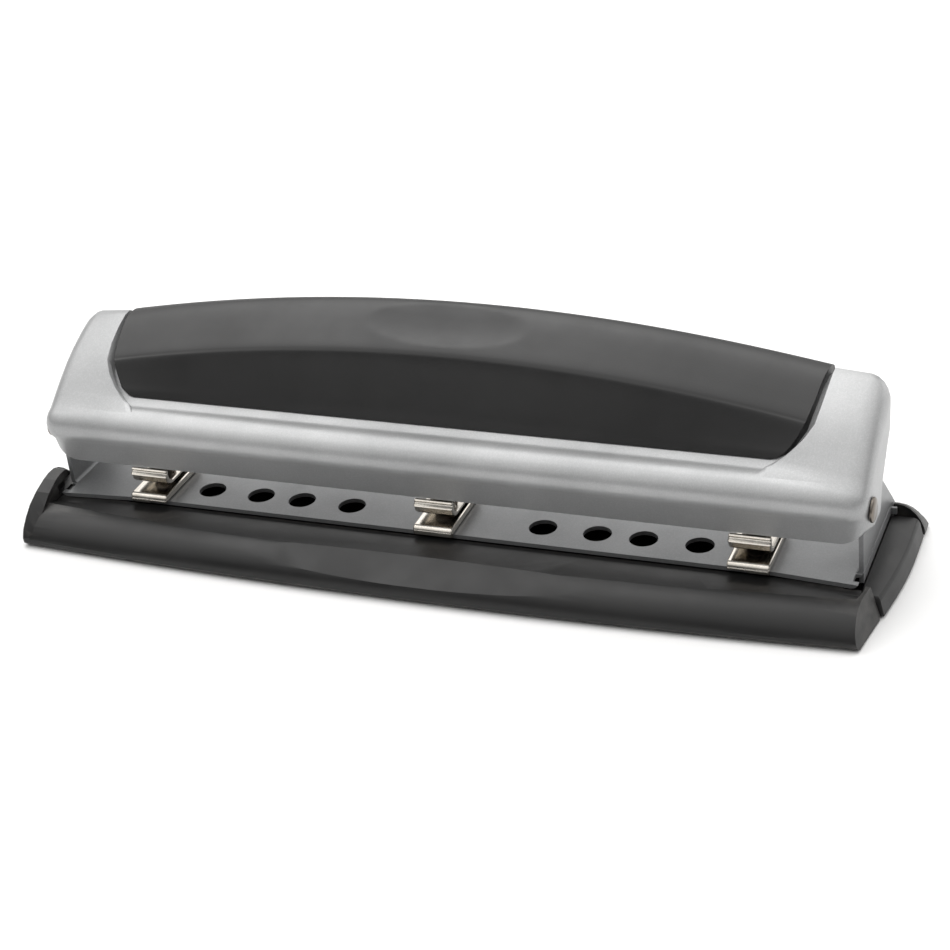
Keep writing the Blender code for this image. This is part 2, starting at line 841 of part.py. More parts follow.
def cam_point(turn_deg):
    """A point of the press bar's involute underside, which pushes a flat cap evenly."""
    turn = math.radians(turn_deg)
    drop = CAP_TOP + GAP - PIVOT[1] - CAM_RADIUS * turn
    y = CAM_RADIUS * math.cos(turn) - drop * math.sin(turn)
    z = CAM_RADIUS * math.sin(turn) + drop * math.cos(turn)
    return (PIVOT[0] + y, PIVOT[1] + z)


def make_press_bar(materials, body):
    """A channel across the handle; its curved web presses the pin caps."""
    wall = 1.4
    web = [cam_point(HANDLE_TRAVEL_DEG * k / 6) for k in range(7)]
    front = -3.2
    rear = web[-1][0]
    low = web[0][1]
    outer = [(front, 31.0), (front, low + 0.8), (front + 0.8, low), *web, (rear, 36.5)]
    inner = [(rear - wall, 36.5), (rear - wall, web[-1][1] + 0.8)]
    inner += [(y, z + wall) for y, z in reversed(web[:-1])]
    inner += [(front + wall + 0.6, low + wall), (front + wall, low + wall + 0.6), (front + wall, 31.0)]
    mesh = prism_x("press_bar", outer + inner, -121.0, 121.0)
    return make_object("press_bar", mesh, materials["steel"], body)


def make_rivet(name, side, materials, body):
    head = SHELL_HALF + GAP
    inner = EAR_INNER_X - GAP
    profile = [(inner - 1.4, 0.0), (inner - 1.4, 2.6), (inner - 1.0, 3.2), (inner, 3.2)]
    profile += [(inner, RIVET_RADIUS), (head, RIVET_RADIUS), (head, RIVET_HEAD_RADIUS)]
    profile += [(head + 0.7, RIVET_HEAD_RADIUS), (head + 1.1, 3.5), (head + 1.3, 2.0), (head + 1.35, 0.0)]
    profile = [(side * d, r) for d, r in profile]
    mesh = turned_mesh(name, profile, (0.0, *PIVOT), 28, "X")
    return make_object(name, mesh, materials["steel"], body)


# Chip tray


def bow(x, z):
    """How far the tray's front stands back at a distance from the middle; most at its crest."""
    return (2.13 + 1.27 * min(max((z + 9.0) / 9.0, 0.0), 1.0)) * 1e-4 * x * x


def scoop(x, y):
    """The height of the shallow finger scoop in the middle of the tray's front."""
    return -0.1 - 0.477 * (-25.3 - y) + 1.7 * (x / 66.0) ** 2


FRONT_BULGE = (
    (-35.9, TRAY_BOTTOM),
    (-36.8, -10.5),
    (-37.3, -9.5),
    (-37.4, -8.4),
    (-37.25, -7.4),
    (-36.9, -6.3),
    (-36.4, -5.3),
    (-35.7, -4.3),
    (-34.8, -3.35),
    (-33.7, -2.45),
    (-32.4, -1.65),
    (-31.0, -1.0),
    (-29.3, -0.4),
    (-27.5, 0.0),
)


def tray_scoop():
    """What is cut away above the finger scoop."""
    rings = []
    for k in range(-18, 19):
        x = 4.0 * k
        low, high = (-45.0, scoop(x, -45.0)), (-20.0, scoop(x, -20.0))
        rings.append([place(x, y, z) for y, z in (low, high, (-20.0, 9.0), (-45.0, 9.0))])
    return loft_mesh("cut_scoop", rings)


def tray_ring(x):
    ring = [(y + bow(x, z), z) for y, z in FRONT_BULGE]
    inner = -12.3 - 3.4 * smoothstep(98.0, 104.0, abs(x))
    rim = TRAY_RIM + 1.9 * smoothstep(144.2, 145.4, x)
    ledge = PLATE_REAR_Y + 0.6
    ring += [(inner, rim), (ledge, TRAY_RIM), (ledge, -0.6)]
    ring += [(TRAY_REAR_Y - 2.2, -0.8), (TRAY_REAR_Y - 0.8, -2.2), (TRAY_REAR_Y, -4.6)]
    ring += [(TRAY_REAR_Y, -10.2), (TRAY_REAR_Y - 0.8, TRAY_BOTTOM)]
    return [place(x, y, z) for y, z in ring]


def tray_stations():
    inner = [9.0 * k for k in range(11)] + [98.0, 104.0, 113.0, 122.0, 133.0, 144.2]
    right = inner + [145.4, TRAY_HALF + 1.5]
    left = [-x for x in inner[1:]] + [-TRAY_HALF]
    return left[::-1] + right


FIN_OUTLINE = (
    (-31.6, TRAY_BOTTOM),
    (-32.9, -9.8),
    (-33.0, -7.8),
    (-31.8, -4.9),
    (-28.8, -1.5),
    (-25.0, 1.5),
    (-20.0, 3.9),
    (-14.0, 5.7),
    (-10.5, 6.3),
    (-7.0, 6.2),
    (-4.5, 5.2),
    (-1.5, 3.2),
    (1.2, 0.7),
    (2.6, -0.9),
    (2.8, TRAY_BOTTOM),
)

# The fin's inner side, point for point; its front sinks into the tray's rounded front.
FIN_INSIDE = (
    (-30.6, TRAY_BOTTOM),
    (-31.7, -9.8),
    (-31.8, -7.8),
    (-29.8, -4.9),
    (-26.6, -2.4),
    (-23.6, 0.2),
    (-19.2, 3.2),
    (-13.6, 5.5),
    (-10.4, 6.1),
    (-7.0, 6.0),
    (-4.5, 5.0),
    (-1.5, 3.0),
    (1.1, 0.5),
    (2.5, -0.9),
    (2.8, TRAY_BOTTOM),
)

WALL_OUTLINE = (
    (-12.0, TRAY_BOTTOM),
    (-12.0, -0.3),
    (39.8, -0.4),
    (43.2, -1.9),
    (45.2, -4.4),
    (TRAY_REAR_Y, -7.4),
    (TRAY_REAR_Y, -10.2),
    (TRAY_REAR_Y - 0.8, TRAY_BOTTOM),
)

CORNER_OUTLINE = (
    (38.8, TRAY_BOTTOM),
    (38.8, -0.3),
    (40.0, -0.5),
    (43.2, -2.3),
    (45.2, -4.8),
    (TRAY_REAR_Y, -7.4),
    (TRAY_REAR_Y, -10.2),
    (TRAY_REAR_Y - 0.8, TRAY_BOTTOM),
)


def end_block(name, outline, inner_x, outer_x, bulge, fall, centre_y, front_fixed, inside=None):
    """An end wall whose outside bulges like a quarter of an ellipse."""
    side = 1 if outer_x > 0 else -1
    rings = [[place(inner_x, y, z) for y, z in (inside or outline)]]
    for degrees in (0, 14, 28, 42, 56, 68, 78):
        turn = math.radians(degrees)
        x = outer_x + side * bulge * math.sin(turn)
        narrow = 1.0 - 0.1 * (1 - math.cos(turn))
        ring = []
        for y, z in outline:
            squeeze = 1.0 if front_fixed and y < centre_y else narrow
            height = TRAY_BOTTOM + (z - TRAY_BOTTOM) * math.cos(turn) ** fall
            ring.append(place(x, centre_y + (y - centre_y) * squeeze, height))
        rings.append(ring)
    return loft_mesh(name, rings)


def tray_front_hollow():
    """The space inside the tray's hollow front."""
    rings = []
    for x in (-141.8, -100.0, -50.0, 0.0, 50.0, 100.0, TRAY_WALL_X[0] - 0.8):
        front = [(-34.6, -9.0), (-35.2, -7.8), (-33.6, -6.6), (-27.0, -3.1), (-24.4, -2.5)]
        ring = [(y + bow(x, z), z) for y, z in front]
        ring += [(-14.0, -4.4), (-9.0, -4.4), (-9.0, -9.0)]
        rings.append([place(x, y, z) for y, z in ring])
    return loft_mesh("cut_front_hollow", rings)


def right_facet():
    """What is cut off to leave the leaning facet at the tray's right front corner."""
    lean = -0.304
    skew = 0.143
    rings = []
    for z in (-15.0, 5.0):
        x = 146.4 + lean * z
        near = x + skew * (-45.0 + 16.8)
        far = x + skew * (-10.0 + 16.8)
        rings.append([place(*p, z) for p in ((near, -45.0), (165.0, -45.0), (165.0, -10.0), (far, -10.0))])
    return loft_mesh("cut_facet", rings)


def foot_places():
    return [(x, y) for x in (-132.0, 132.0) for y in (-24.0, 37.0)]


def make_tray(materials, body):
    mesh = loft_mesh("chip_tray", [tray_ring(x) for x in tray_stations()], 30.0)
    tray = make_object("chip_tray", mesh, materials["black"], body)
    corner = end_block("corner", CORNER_OUTLINE, 144.0, 145.0, 9.5, 1.2, 38.8, True)
    cavity = block("cavity", (-142.6, TRAY_WALL_X[0]), (-11.0, PLATE_REAR_Y - 0.8), (TRAY_FLOOR, 8.0))
    cut(tray, "cutter_scoop", tray_scoop())
    cut(tray, "cutter_cavity_tray", cavity)
    cut(tray, "cutter_front_hollow", tray_front_hollow())
    tab_space = block("tab_space", (TRAY_WALL_X[1], 170.0), (-12.6, 38.8), (-9.4, 12.0))
    cut(tray, "cutter_tab_space", tab_space)
    skirt_space = block("skirt_space", (145.2, 170.0), (-12.8, 38.8), (-20.0, -5.0))
    cut(tray, "cutter_skirt_space", skirt_space)
    cut(tray, "cutter_facet", right_facet())
    outer_end = block("outer_end", (144.8, 170.0), (38.0, 60.0), (-20.0, 12.0))
    cut(tray, "cutter_outer_end", outer_end)
    heel_space = block("heel_space", (141.2, 160.0), (38.0, 60.0), (-5.0, 12.0))
    cut(tray, "cutter_heel_space", heel_space)
    join(tray, "tray_corner", corner)
    wall = end_block("wall", WALL_OUTLINE, WALL_INNER_X, -TRAY_HALF, 1.6, 0.5, -12.0, True)
    join(tray, "tray_wall", wall)
    fin = end_block("fin", FIN_OUTLINE, FIN_INNER_X, -TRAY_HALF, 1.6, 0.5, 2.8, False, FIN_INSIDE)
    join(tray, "tray_fin", fin)
    fin_hollow = block("fin_hollow", (-148.6, -139.0), (-6.1, 3.4), (-1.0, 12.0))
    cut(tray, "cutter_fin_hollow", fin_hollow)
    fin_relief = block("fin_relief", (-146.1, -139.0), (-13.3, -5.9), (-1.0, 2.8))
    cut(tray, "cutter_fin_relief", fin_relief)
    window = block("window", (TRAY_WALL_X[0] - 2, TRAY_WALL_X[1] + 2), (9.6, 16.4), (-8.8, -4.6))
    cut(tray, "cutter_window", window)
    for i, y in enumerate(LUG_Y):
        cut(tray, f"cutter_pocket_{i}", hinge_pocket(y))
    bore = circle(0.85, 16, TRAY_HINGE)
    cut(tray, "cutter_hinge_bore", prism_y("cut_bore", bore, 1.0, 35.0))
    for i, (x, y) in enumerate(foot_places()):
        recess = prism_z("cut_foot_recess", circle(5.3, 24, (x, y)), -14.0, -9.9)
        cut(tray, f"cutter_foot_{i}", recess)
    return tray


def hinge_pocket(y):
    """A slot in the tray's left wall, open at the top, for a hinge lug to turn in."""
    x, z = TRAY_HINGE
    room = 2.3
    arc = [math.radians(d) for d in range(180, 341, 20)]
    outline = [(x + room * math.cos(t), z + room * math.sin(t)) for t in arc]
    outline += [(-141.0, z - 0.8), (-141.0, 9.0), (x - room, 9.0)]
    return prism_y("cut_pocket", outline, y - 0.5, y + LUG_LENGTH + 0.5)


def make_foot(name, x, y, materials, body):
    top = -10.2
    profile = [(TABLE, 0.0), (TABLE, 4.5), (TABLE + 0.4, 5.0), (top, 5.0), (top, 0.0)]
    mesh = turned_mesh(name, profile, (x, y, 0.0), 24)
    return make_object(name, mesh, materials["rubber"], body)


def make_hinge_pin(materials, body):
    x, z = TRAY_HINGE
    profile = [(1.3, 0.0), (1.3, 0.75), (34.7, 0.75), (34.7, 0.0)]
    mesh = turned_mesh("tray_hinge_pin", profile, (x, 0.0, z), 16, "Y")
    return make_object("tray_hinge_pin", mesh, materials["nickel"], body)


def tab_ring(height, shrink, inner):
    """The latch tab's plan at one height; its outer side bows and leans out to the table."""
    lean = 1.5 * (TAB_TOP - height) / (TAB_TOP - TRAY_BOTTOM)
    low, high = TAB_Y
    steps = 8
    ring = []
    for k in range(steps + 1):
        y = low + (high - low) * k / steps
        span = 2.9 * k / steps + 1.45 * math.sin(math.pi * k / steps)
        ring.append((149.8 + span + lean, y))
    tip_x, tip_y = ring.pop()
    ring += [(tip_x + 0.2, tip_y - 1.6), (tip_x - 1.4, tip_y)]
    ring = [(inner, high), (inner, low), *ring]
    return [place(x, y, height) for x, y in inset(ring, shrink)]


def make_latch_tab(materials, body):
    rings = [tab_ring(-11.1, 0.5, 148.3), tab_ring(-10.6, 0.0, 148.5), tab_ring(-9.1, 0.0, 148.5)]
    rings += [tab_ring(-9.1 + 0.01, 0.0, 143.0), tab_ring(-5.2, 0.0, 143.0)]
    rings += [tab_ring(-4.5, 0.25, 143.0), tab_ring(TAB_TOP, 0.8, 142.9)]
    tab = make_object("latch_tab", loft_mesh("latch_tab", rings), materials["black"], body)
    join(tab, "tab_tongue", block("tongue", (135.4, 144.0), (10.0, 16.0), (-8.4, -5.0)))
    return tab


def main():
    clear_scene()
    materials = make_materials()
    tray_body = body_empty("tray", place(0.0, 0.0, TABLE))
    frame_body = body_empty("frame", place(TRAY_HINGE[0], 0.0, TRAY_HINGE[1]))
    handle_body = body_empty("handle", place(0.0, *PIVOT))
    latch_body = body_empty("latch", place(148.0, 13.0, -7.0))

    make_tray(materials, tray_body)
    for (x, y), label in zip(foot_places(), ("front_left", "rear_left", "front_right", "rear_right")):
        make_foot(f"foot_{label}", x, y, materials, tray_body)
    make_hinge_pin(materials, tray_body)
    make_latch_tab(materials, latch_body)

    make_frame(materials, frame_body)
    for x, label in zip(HEAD_X, HEAD_NAMES):
        make_head(f"punch_head_{label}", x, materials, frame_body)
        make_screw(f"head_screw_{label}", x, materials, frame_body)
        bush = ring_mesh("bush", 3.75, PLATE_HOLE_RADIUS - GAP, -3.2, 0.0, (x, 0.0), 28)
        make_object(f"die_bush_{label}", bush, materials["steel"], frame_body)
        make_spring(f"pin_spring_{label}", x, materials, frame_body)
        pin_body = body_empty(f"pin_{label}", place(x, 0.0, CAP_TOP))
        make_pin(f"punch_pin_{label}", x, materials, pin_body)
        make_cap(f"pin_cap_{label}", x, materials, pin_body)
    for side, label in ((-1, "left"), (1, "right")):
        make_rivet(f"pivot_rivet_{label}", side, materials, frame_body)

    make_shell(materials, handle_body)
    make_grip(materials, handle_body)
    make_press_bar(materials, handle_body)


main()
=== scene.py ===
"""Looks of the three hole punch: finer pieces over the CAD frame, materials, light and camera.

Sizes are in millimetres in the part's own layout: X from the middle punch head, Y from the line of
the punched holes and Z from the top of the steel plate. place() turns them into metres in the frame.
"""

import json
import math

import bmesh
import bpy
from mathutils import Matrix, Vector

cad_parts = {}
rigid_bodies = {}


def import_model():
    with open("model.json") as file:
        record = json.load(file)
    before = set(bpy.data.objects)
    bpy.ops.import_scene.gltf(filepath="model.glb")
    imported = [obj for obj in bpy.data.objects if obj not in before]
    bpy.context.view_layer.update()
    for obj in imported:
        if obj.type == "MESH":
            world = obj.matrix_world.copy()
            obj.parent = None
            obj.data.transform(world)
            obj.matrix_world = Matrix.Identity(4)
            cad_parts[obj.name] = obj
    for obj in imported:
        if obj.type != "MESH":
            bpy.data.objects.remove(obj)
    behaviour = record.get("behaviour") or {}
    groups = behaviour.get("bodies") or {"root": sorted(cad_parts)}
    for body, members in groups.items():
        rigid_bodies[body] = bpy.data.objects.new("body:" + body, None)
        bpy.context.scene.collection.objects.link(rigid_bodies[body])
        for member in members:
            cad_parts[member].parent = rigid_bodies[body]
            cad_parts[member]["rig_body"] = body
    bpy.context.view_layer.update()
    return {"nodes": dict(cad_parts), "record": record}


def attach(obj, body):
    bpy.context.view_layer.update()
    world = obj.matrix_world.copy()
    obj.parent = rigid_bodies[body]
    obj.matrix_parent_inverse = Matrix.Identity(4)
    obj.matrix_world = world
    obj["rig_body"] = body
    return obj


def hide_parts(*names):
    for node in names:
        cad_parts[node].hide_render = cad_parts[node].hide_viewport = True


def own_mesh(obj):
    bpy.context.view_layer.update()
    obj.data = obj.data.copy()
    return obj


MM = 0.001
CENTRE_HEAD_X = -2.2
PUNCH_LINE_Y = -4.3
PLATE_TOP = 11.6

HEAD_X = {"left": -107.95, "center": 0.0, "right": 107.95}

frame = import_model()
nodes = frame["nodes"]
slots = {part["node"]: part["material_slot"] for part in frame["record"]["subparts"]}


def place(x, y, z):
    return Vector(((x + CENTRE_HEAD_X) * MM, (y + PUNCH_LINE_Y) * MM, (z + PLATE_TOP) * MM))


# Materials


class Nodes:
    """Short calls for building one material's node tree. Noise scales are per metre."""

    def __init__(self, name):
        self.material = bpy.data.materials.new(name)
        self.material.use_nodes = True
        self.tree = self.material.node_tree
        self.shader = self.tree.nodes["Principled BSDF"]
        self.where = self.add("ShaderNodeTexCoord").outputs["Object"]

    def add(self, kind, **settings):
        node = self.tree.nodes.new(kind)
        for key, value in settings.items():
            setattr(node, key, value)
        return node

    def link(self, source, target):
        self.tree.links.new(source, target)

    def set(self, **values):
        for key, value in values.items():
            self.shader.inputs[key.replace("_", " ")].default_value = value

    def drive(self, **sources):
        for key, source in sources.items():
            self.link(source, self.shader.inputs[key.replace("_", " ")])

    def stretched(self, scale):
        mapping = self.add("ShaderNodeMapping")
        mapping.inputs["Scale"].default_value = scale
        self.link(self.where, mapping.inputs["Vector"])
        return mapping.outputs["Vector"]

    def noise(self, scale, detail=3.0, roughness=0.5, vector=None):
        node = self.add("ShaderNodeTexNoise")
        node.inputs["Scale"].default_value = scale
        node.inputs["Detail"].default_value = detail
        node.inputs["Roughness"].default_value = roughness
        self.link(vector or self.where, node.inputs["Vector"])
        return node.outputs["Fac"]

    def cells(self, scale):
        node = self.add("ShaderNodeTexVoronoi", feature="F1")
        node.inputs["Scale"].default_value = scale
        self.link(self.where, node.inputs["Vector"])
        return node.outputs["Color"]

    def ramp(self, source, low, high, first, last):
        """Maps source from low..high to first..last."""
        node = self.add("ShaderNodeMapRange")
        node.inputs["From Min"].default_value = low
        node.inputs["From Max"].default_value = high
        node.inputs["To Min"].default_value = first
        node.inputs["To Max"].default_value = last
        self.link(source, node.inputs["Value"])
        return node.outputs["Result"]

    def blend(self, share, first, second):
        """Mixes two colours, each a constant or another node's output."""
        node = self.add("ShaderNodeMix", data_type="RGBA")
        for socket, colour in (("A", first), ("B", second)):
            if isinstance(colour, tuple):
                node.inputs[socket].default_value = (*colour, 1.0)
            else:
                self.link(colour, node.inputs[socket])
        self.link(share, node.inputs["Factor"])
        return node.outputs["Result"]

    def combined(self, operation, first, second):
        node = self.add("ShaderNodeMath", operation=operation)
        self.link(first, node.inputs[0])
        self.link(second, node.inputs[1])
        return node.outputs["Value"]

    def multiply(self, first, second):
        return self.combined("MULTIPLY", first, second)

    def plus(self, first, second):
        return self.combined("ADD", first, second)

    def bump(self, height, strength, depth_mm):
        node = self.add("ShaderNodeBump")
        node.inputs["Strength"].default_value = strength
        node.inputs["Distance"].default_value = depth_mm * MM
        self.link(height, node.inputs["Height"])
        self.drive(Normal=node.outputs["Normal"])

    def painted_edge_highlight(self, low=0.55, high=0.66):
        """A share that grows on outward edges, where a lighter colour is painted in as a highlight."""
        point = self.add("ShaderNodeNewGeometry").outputs["Pointiness"]
        return self.ramp(point, low, high, 0.0, 1.0)


def metallic_paint(name, dark, light, roughness, metallic, flakes):
    """Sprayed metallic paint: fine flakes, a slight orange peel and cloudy gloss."""
    m = Nodes(name)
    flake = m.ramp(m.cells(flakes), 0.0, 1.0, 0.0, 1.0)
    cloud = m.ramp(m.noise(26.0, detail=4.0), 0.35, 0.65, 0.0, 1.0)
    share = m.ramp(m.plus(m.multiply(flake, flake), cloud), 0.0, 2.0, 0.0, 1.0)
    gloss = m.ramp(m.noise(60.0, detail=5.0, roughness=0.6), 0.3, 0.7, roughness - 0.04, roughness + 0.05)
    m.drive(Base_Color=m.blend(share, dark, light), Roughness=gloss)
    m.set(Metallic=metallic, Coat_Weight=0.08, Coat_Roughness=0.35)
    peel = m.ramp(m.noise(900.0, detail=2.0), 0.0, 1.0, 0.0, 0.6)
    m.bump(m.plus(peel, m.ramp(flake, 0.0, 1.0, 0.0, 0.25)), strength=0.18, depth_mm=0.06)
    return m.material


def moulded_plastic(name, dark, light, edge_highlight_colour, roughness, grain, depth_mm, index):
    """Moulded plastic with a fine spark-eroded grain, faint smudges and a painted highlight on its outward
    edges.
    """
    m = Nodes(name)
    smudge = m.ramp(m.noise(18.0, detail=5.0, roughness=0.6), 0.35, 0.7, 0.0, 1.0)
    patches = m.ramp(m.noise(240.0), 0.3, 0.6, 0.2, 1.0)
    # Outward edges are blended in patches towards a lighter colour: a painted highlight.
    colour = m.blend(m.multiply(m.painted_edge_highlight(), patches), m.blend(smudge, dark, light), edge_highlight_colour)
    gloss = m.ramp(m.noise(45.0, detail=6.0, roughness=0.65), 0.3, 0.7, roughness - 0.06, roughness + 0.07)
    m.drive(Base_Color=colour, Roughness=gloss)
    m.bump(m.noise(grain, detail=4.0, roughness=0.6), strength=0.35, depth_mm=depth_mm)
    m.set(Metallic=0.0, IOR=index)
    return m.material


def plated_metal(name, dark, light, roughness, drawing):
    """Plated steel with faint drawing lines: drawing is the noise's scale along X, Y and Z."""
    m = Nodes(name)
    lines = m.noise(1.0, roughness=0.6, vector=m.stretched(drawing))
    cloud = m.noise(120.0, detail=4.0)
    share = m.ramp(m.plus(lines, cloud), 0.7, 1.3, 0.0, 1.0)
    gloss = m.ramp(cloud, 0.3, 0.7, roughness - 0.05, roughness + 0.09)
    m.drive(Base_Color=m.blend(share, dark, light), Roughness=gloss)
    m.bump(lines, strength=0.12, depth_mm=0.03)
    m.set(Metallic=1.0)
    return m.material


def rubber(name):
    """Matt black rubber with a grained skin."""
    m = Nodes(name)
    colour = m.blend(m.noise(150.0, detail=4.0), (0.018, 0.018, 0.018), (0.045, 0.045, 0.045))
    m.drive(Base_Color=colour, Roughness=m.ramp(m.noise(90.0), 0.3, 0.7, 0.68, 0.86))
    m.bump(m.noise(1400.0), strength=0.4, depth_mm=0.08)
    return m.material


MATERIALS = {
    "silver_paint": metallic_paint(
        "silver_paint_look",
        (0.34, 0.344, 0.348),
        (0.49, 0.494, 0.498),
        roughness=0.38,
        metallic=0.36,
        flakes=3200.0,
    ),
    "grey_paint": metallic_paint(
        "grey_paint_look",
        (0.185, 0.188, 0.192),
        (0.265, 0.269, 0.274),
        roughness=0.42,
        metallic=0.45,
        flakes=2880.0,
    ),
    "black_plastic": moulded_plastic(
        "black_plastic_look",
        (0.007, 0.007, 0.0072),
        (0.012, 0.0117, 0.0117),
        # The lighter colour painted on outward edges as a highlight.
        edge_highlight_colour=(0.04, 0.038, 0.036),
        roughness=0.40,
        grain=2600.0,
        depth_mm=0.07,
        index=1.44,
    ),
    "grip_plastic": moulded_plastic(
        "grip_plastic_look",
        (0.007, 0.007, 0.0073),
        (0.011, 0.0108, 0.011),
        # The lighter colour painted on outward edges as a highlight.
        edge_highlight_colour=(0.04, 0.04, 0.04),
        roughness=0.42,
        grain=2200.0,
        depth_mm=0.08,
        index=1.52,
    ),
    "nickel_plate": plated_metal(
        "nickel_plate_look", (0.50, 0.47, 0.42), (0.78, 0.74, 0.68), roughness=0.17, drawing=(2500, 60, 2500)
    ),
    "dark_steel": plated_metal(
        "dark_steel_look", (0.11, 0.10, 0.09), (0.24, 0.21, 0.18), roughness=0.30, drawing=(1800, 120, 120)
    ),
    "foot_rubber": rubber("foot_rubber_look"),
}


# Pieces

# Shading angle in degrees and edge round in millimetres, by the start of a node's name.
EDGES = {
    "chip_tray": (17.0, 0.4),
    "handle_shell": (28.0, 0.3),
    "latch_tab": (28.0, 0.6),
    "base_plate": (28.0, 0.35),
    "punch_head": (30.0, 0.12),
}
OTHER_EDGES = (32.0, 0.1)
BEVEL_MARGIN_DEG = 6.0

WELD_DISTANCE = 0.002
FLAT_DEG = 0.4

# The handle's end caps swell from CAP_START on, which the grip hides. The swelling fades from CAP_FADE
# to nothing at CAP_END, and grows with height from CAP_LOW to CAP_HIGH.
CAP_START, CAP_FADE, CAP_END = 118.0, 126.0, 146.0
CAP_LOW, CAP_HIGH = 36.0, 46.0
CAP_SWELL = 2.4


def body_of(node):
    return nodes[node]["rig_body"]


def stand_in(piece, node):
    """The piece takes the place of a CAD node: its body, slot and material."""
    slot = slots[node]
    piece.data.materials.clear()
    piece.data.materials.append(MATERIALS[slot])
    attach(piece, body_of(node))
    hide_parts(node)


def new_piece(name, build):
    mesh = bpy.data.meshes.new(name)
    build.to_mesh(mesh)
    build.free()
    piece = bpy.data.objects.new(name, mesh)
    bpy.context.scene.collection.objects.link(piece)
    return piece


def soften(piece, angle_deg, bevel=0.0, segments=2):
    """Smooth shading up to an angle, and small rounds on the edges that are sharper than it."""
    piece.data.shade_smooth()
    piece.data.set_sharp_from_angle(angle=math.radians(angle_deg))
    if bevel:
        step = piece.modifiers.new("edge_round", "BEVEL")
        step.limit_method = "ANGLE"
        step.angle_limit = math.radians(angle_deg + BEVEL_MARGIN_DEG)
        step.width = bevel * MM
        step.segments = segments
        step.use_clamp_overlap = True
        step.harden_normals = True


def bridge(build, rows):
    """Four-sided faces between each ring of points and the next."""
    for first, second in zip(rows, rows[1:]):
        for k in range(len(first)):
            j = (k + 1) % len(first)
            build.faces.new((first[k], second[k], second[j], first[j]))


def smoothstep(low, high, value):
    """Rises smoothly from 0 at low to 1 at high."""
    share = min(max((value - low) / (high - low), 0.0), 1.0)
    return share * share * (3 - 2 * share)


def crown_caps(build):
    """The handle's end caps swell up to the grip, so that they cover the grip's ends."""
    for vertex in build.verts:
        x = abs(vertex.co.x / MM - CENTRE_HEAD_X)
        z = vertex.co.z / MM - PLATE_TOP
        if x > CAP_START:
            away = max(x - CAP_FADE, 0.0) / (CAP_END - CAP_FADE)
            swell = CAP_SWELL * max(1.0 - away * away, 0.0)
            vertex.co.z += swell * smoothstep(CAP_LOW, CAP_HIGH, z) * MM


def welded(node, angle_deg, bevel, reshape=None):
    """A fine copy of a CAD node: welded, smooth and with rounded edges."""
    build = bmesh.new()
    build.from_mesh(nodes[node].data)
    bmesh.ops.remove_doubles(build, verts=build.verts, dist=WELD_DISTANCE * MM)
    bmesh.ops.dissolve_limit(
        build, angle_limit=math.radians(FLAT_DEG), verts=build.verts, edges=build.edges, delimit={"NORMAL"}
    )
    if reshape:
        reshape(build)
    piece = new_piece(node + "_look", build)
    soften(piece, angle_deg, bevel)
    stand_in(piece, node)


for name in nodes:
    if not name.startswith(("pin_spring", "grip_cover")):
        angle, edge = next((EDGES[start] for start in EDGES if name.startswith(start)), OTHER_EDGES)
        welded(name, angle, edge, crown_caps if name == "handle_shell" else None)


# Pin springs

# Heights of the wire's centre at the coil's two ends.
SPRING_BOTTOM, SPRING_TOP = 6.75, 14.85
SPRING_RADIUS = 4.25
WIRE_RADIUS = 0.38
SPRING_TURNS = 5.5

# How much flatter the coil lies towards its ends, as a share of its height.
SPRING_CLOSING = 0.045
STEPS_PER_TURN = 40
WIRE_SIDES = 12


def spring_mesh(label):
    """An open coil of round wire that lies flatter towards its ends."""
    build = bmesh.new()
    rows = []
    total = int(SPRING_TURNS * STEPS_PER_TURN)
    for i in range(total + 1):
        turn = 2 * math.pi * i / STEPS_PER_TURN
        share = i / total
        climb = share - SPRING_CLOSING * math.sin(2 * math.pi * share)
        z = SPRING_BOTTOM + (SPRING_TOP - SPRING_BOTTOM) * climb
        ring = []
        for k in range(WIRE_SIDES):
            a = 2 * math.pi * k / WIRE_SIDES
            reach = SPRING_RADIUS + WIRE_RADIUS * math.cos(a)
            spot = place(
                HEAD_X[label] + reach * math.cos(turn), reach * math.sin(turn), z + WIRE_RADIUS * math.sin(a)
            )
            ring.append(build.verts.new(spot))
        rows.append(ring)
    bridge(build, rows)
    build.faces.new(rows[0])
    build.faces.new(rows[-1][::-1])
    bmesh.ops.recalc_face_normals(build, faces=build.faces)
    return build


for label in HEAD_X:
    spring = new_piece(f"coil_spring_{label}", spring_mesh(label))
    soften(spring, angle_deg=50.0)
    stand_in(spring, f"pin_spring_{label}")
    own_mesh(spring)


# Grip

# The grip's middle section as (y, z): up the front face to the ridge, over the crown and down the back.
FRONT_FOOT_Z = 35.3
RIDGE_Y, RIDGE_Z = 6.2, 58.2
CROWN_Y, CROWN_Z = 26.0, 67.2
BACK_FOOT_Z = 46.6
GRIP_TOP = (
    (-1.2, FRONT_FOOT_Z),
    (-0.9, 36.4),
    (-0.1, 39.2),
    (1.2, 43.0),
    (3.2, 49.5),
    (5.2, 56.4),
    (RIDGE_Y, RIDGE_Z),
    (8.0, 59.6),
    (11.5, 61.6),
    (15.0, 63.5),
    (19.0, 65.5),
    (22.5, 66.8),
    (CROWN_Y, CROWN_Z),
    (29.0, 66.6),
    (31.2, 65.2),
    (32.8, 62.6),
    (33.5, 58.0),
    (33.7, BACK_FOOT_Z),
)
CURVE_STEPS = 4

# The grip's inner side as (y, z), from the back to the front, and how much shorter it is at each end.
GRIP_UNDER = ((32.6, 46.7), (31.0, 48.2), (24.0, 50.2), (16.0, 46.5), (8.0, 41.5), (2.0, 36.6))
UNDER_INSET = 0.4

# Half the grip's length at each y.
GRIP_ENDS = (
    (-1.2, 113.3),
    (-0.9, 115.4),
    (-0.1, 117.4),
    (1.2, 119.2),
    (3.2, 121.2),
    (5.0, 122.6),
    (6.2, 123.2),
    (13.0, 124.5),
    (20.0, 125.3),
    (27.0, 126.0),
    (34.0, 126.4),
)

# How far the crown has come down at DROP_X from the middle.
GRIP_DROP = 12.9
DROP_X = 125.0

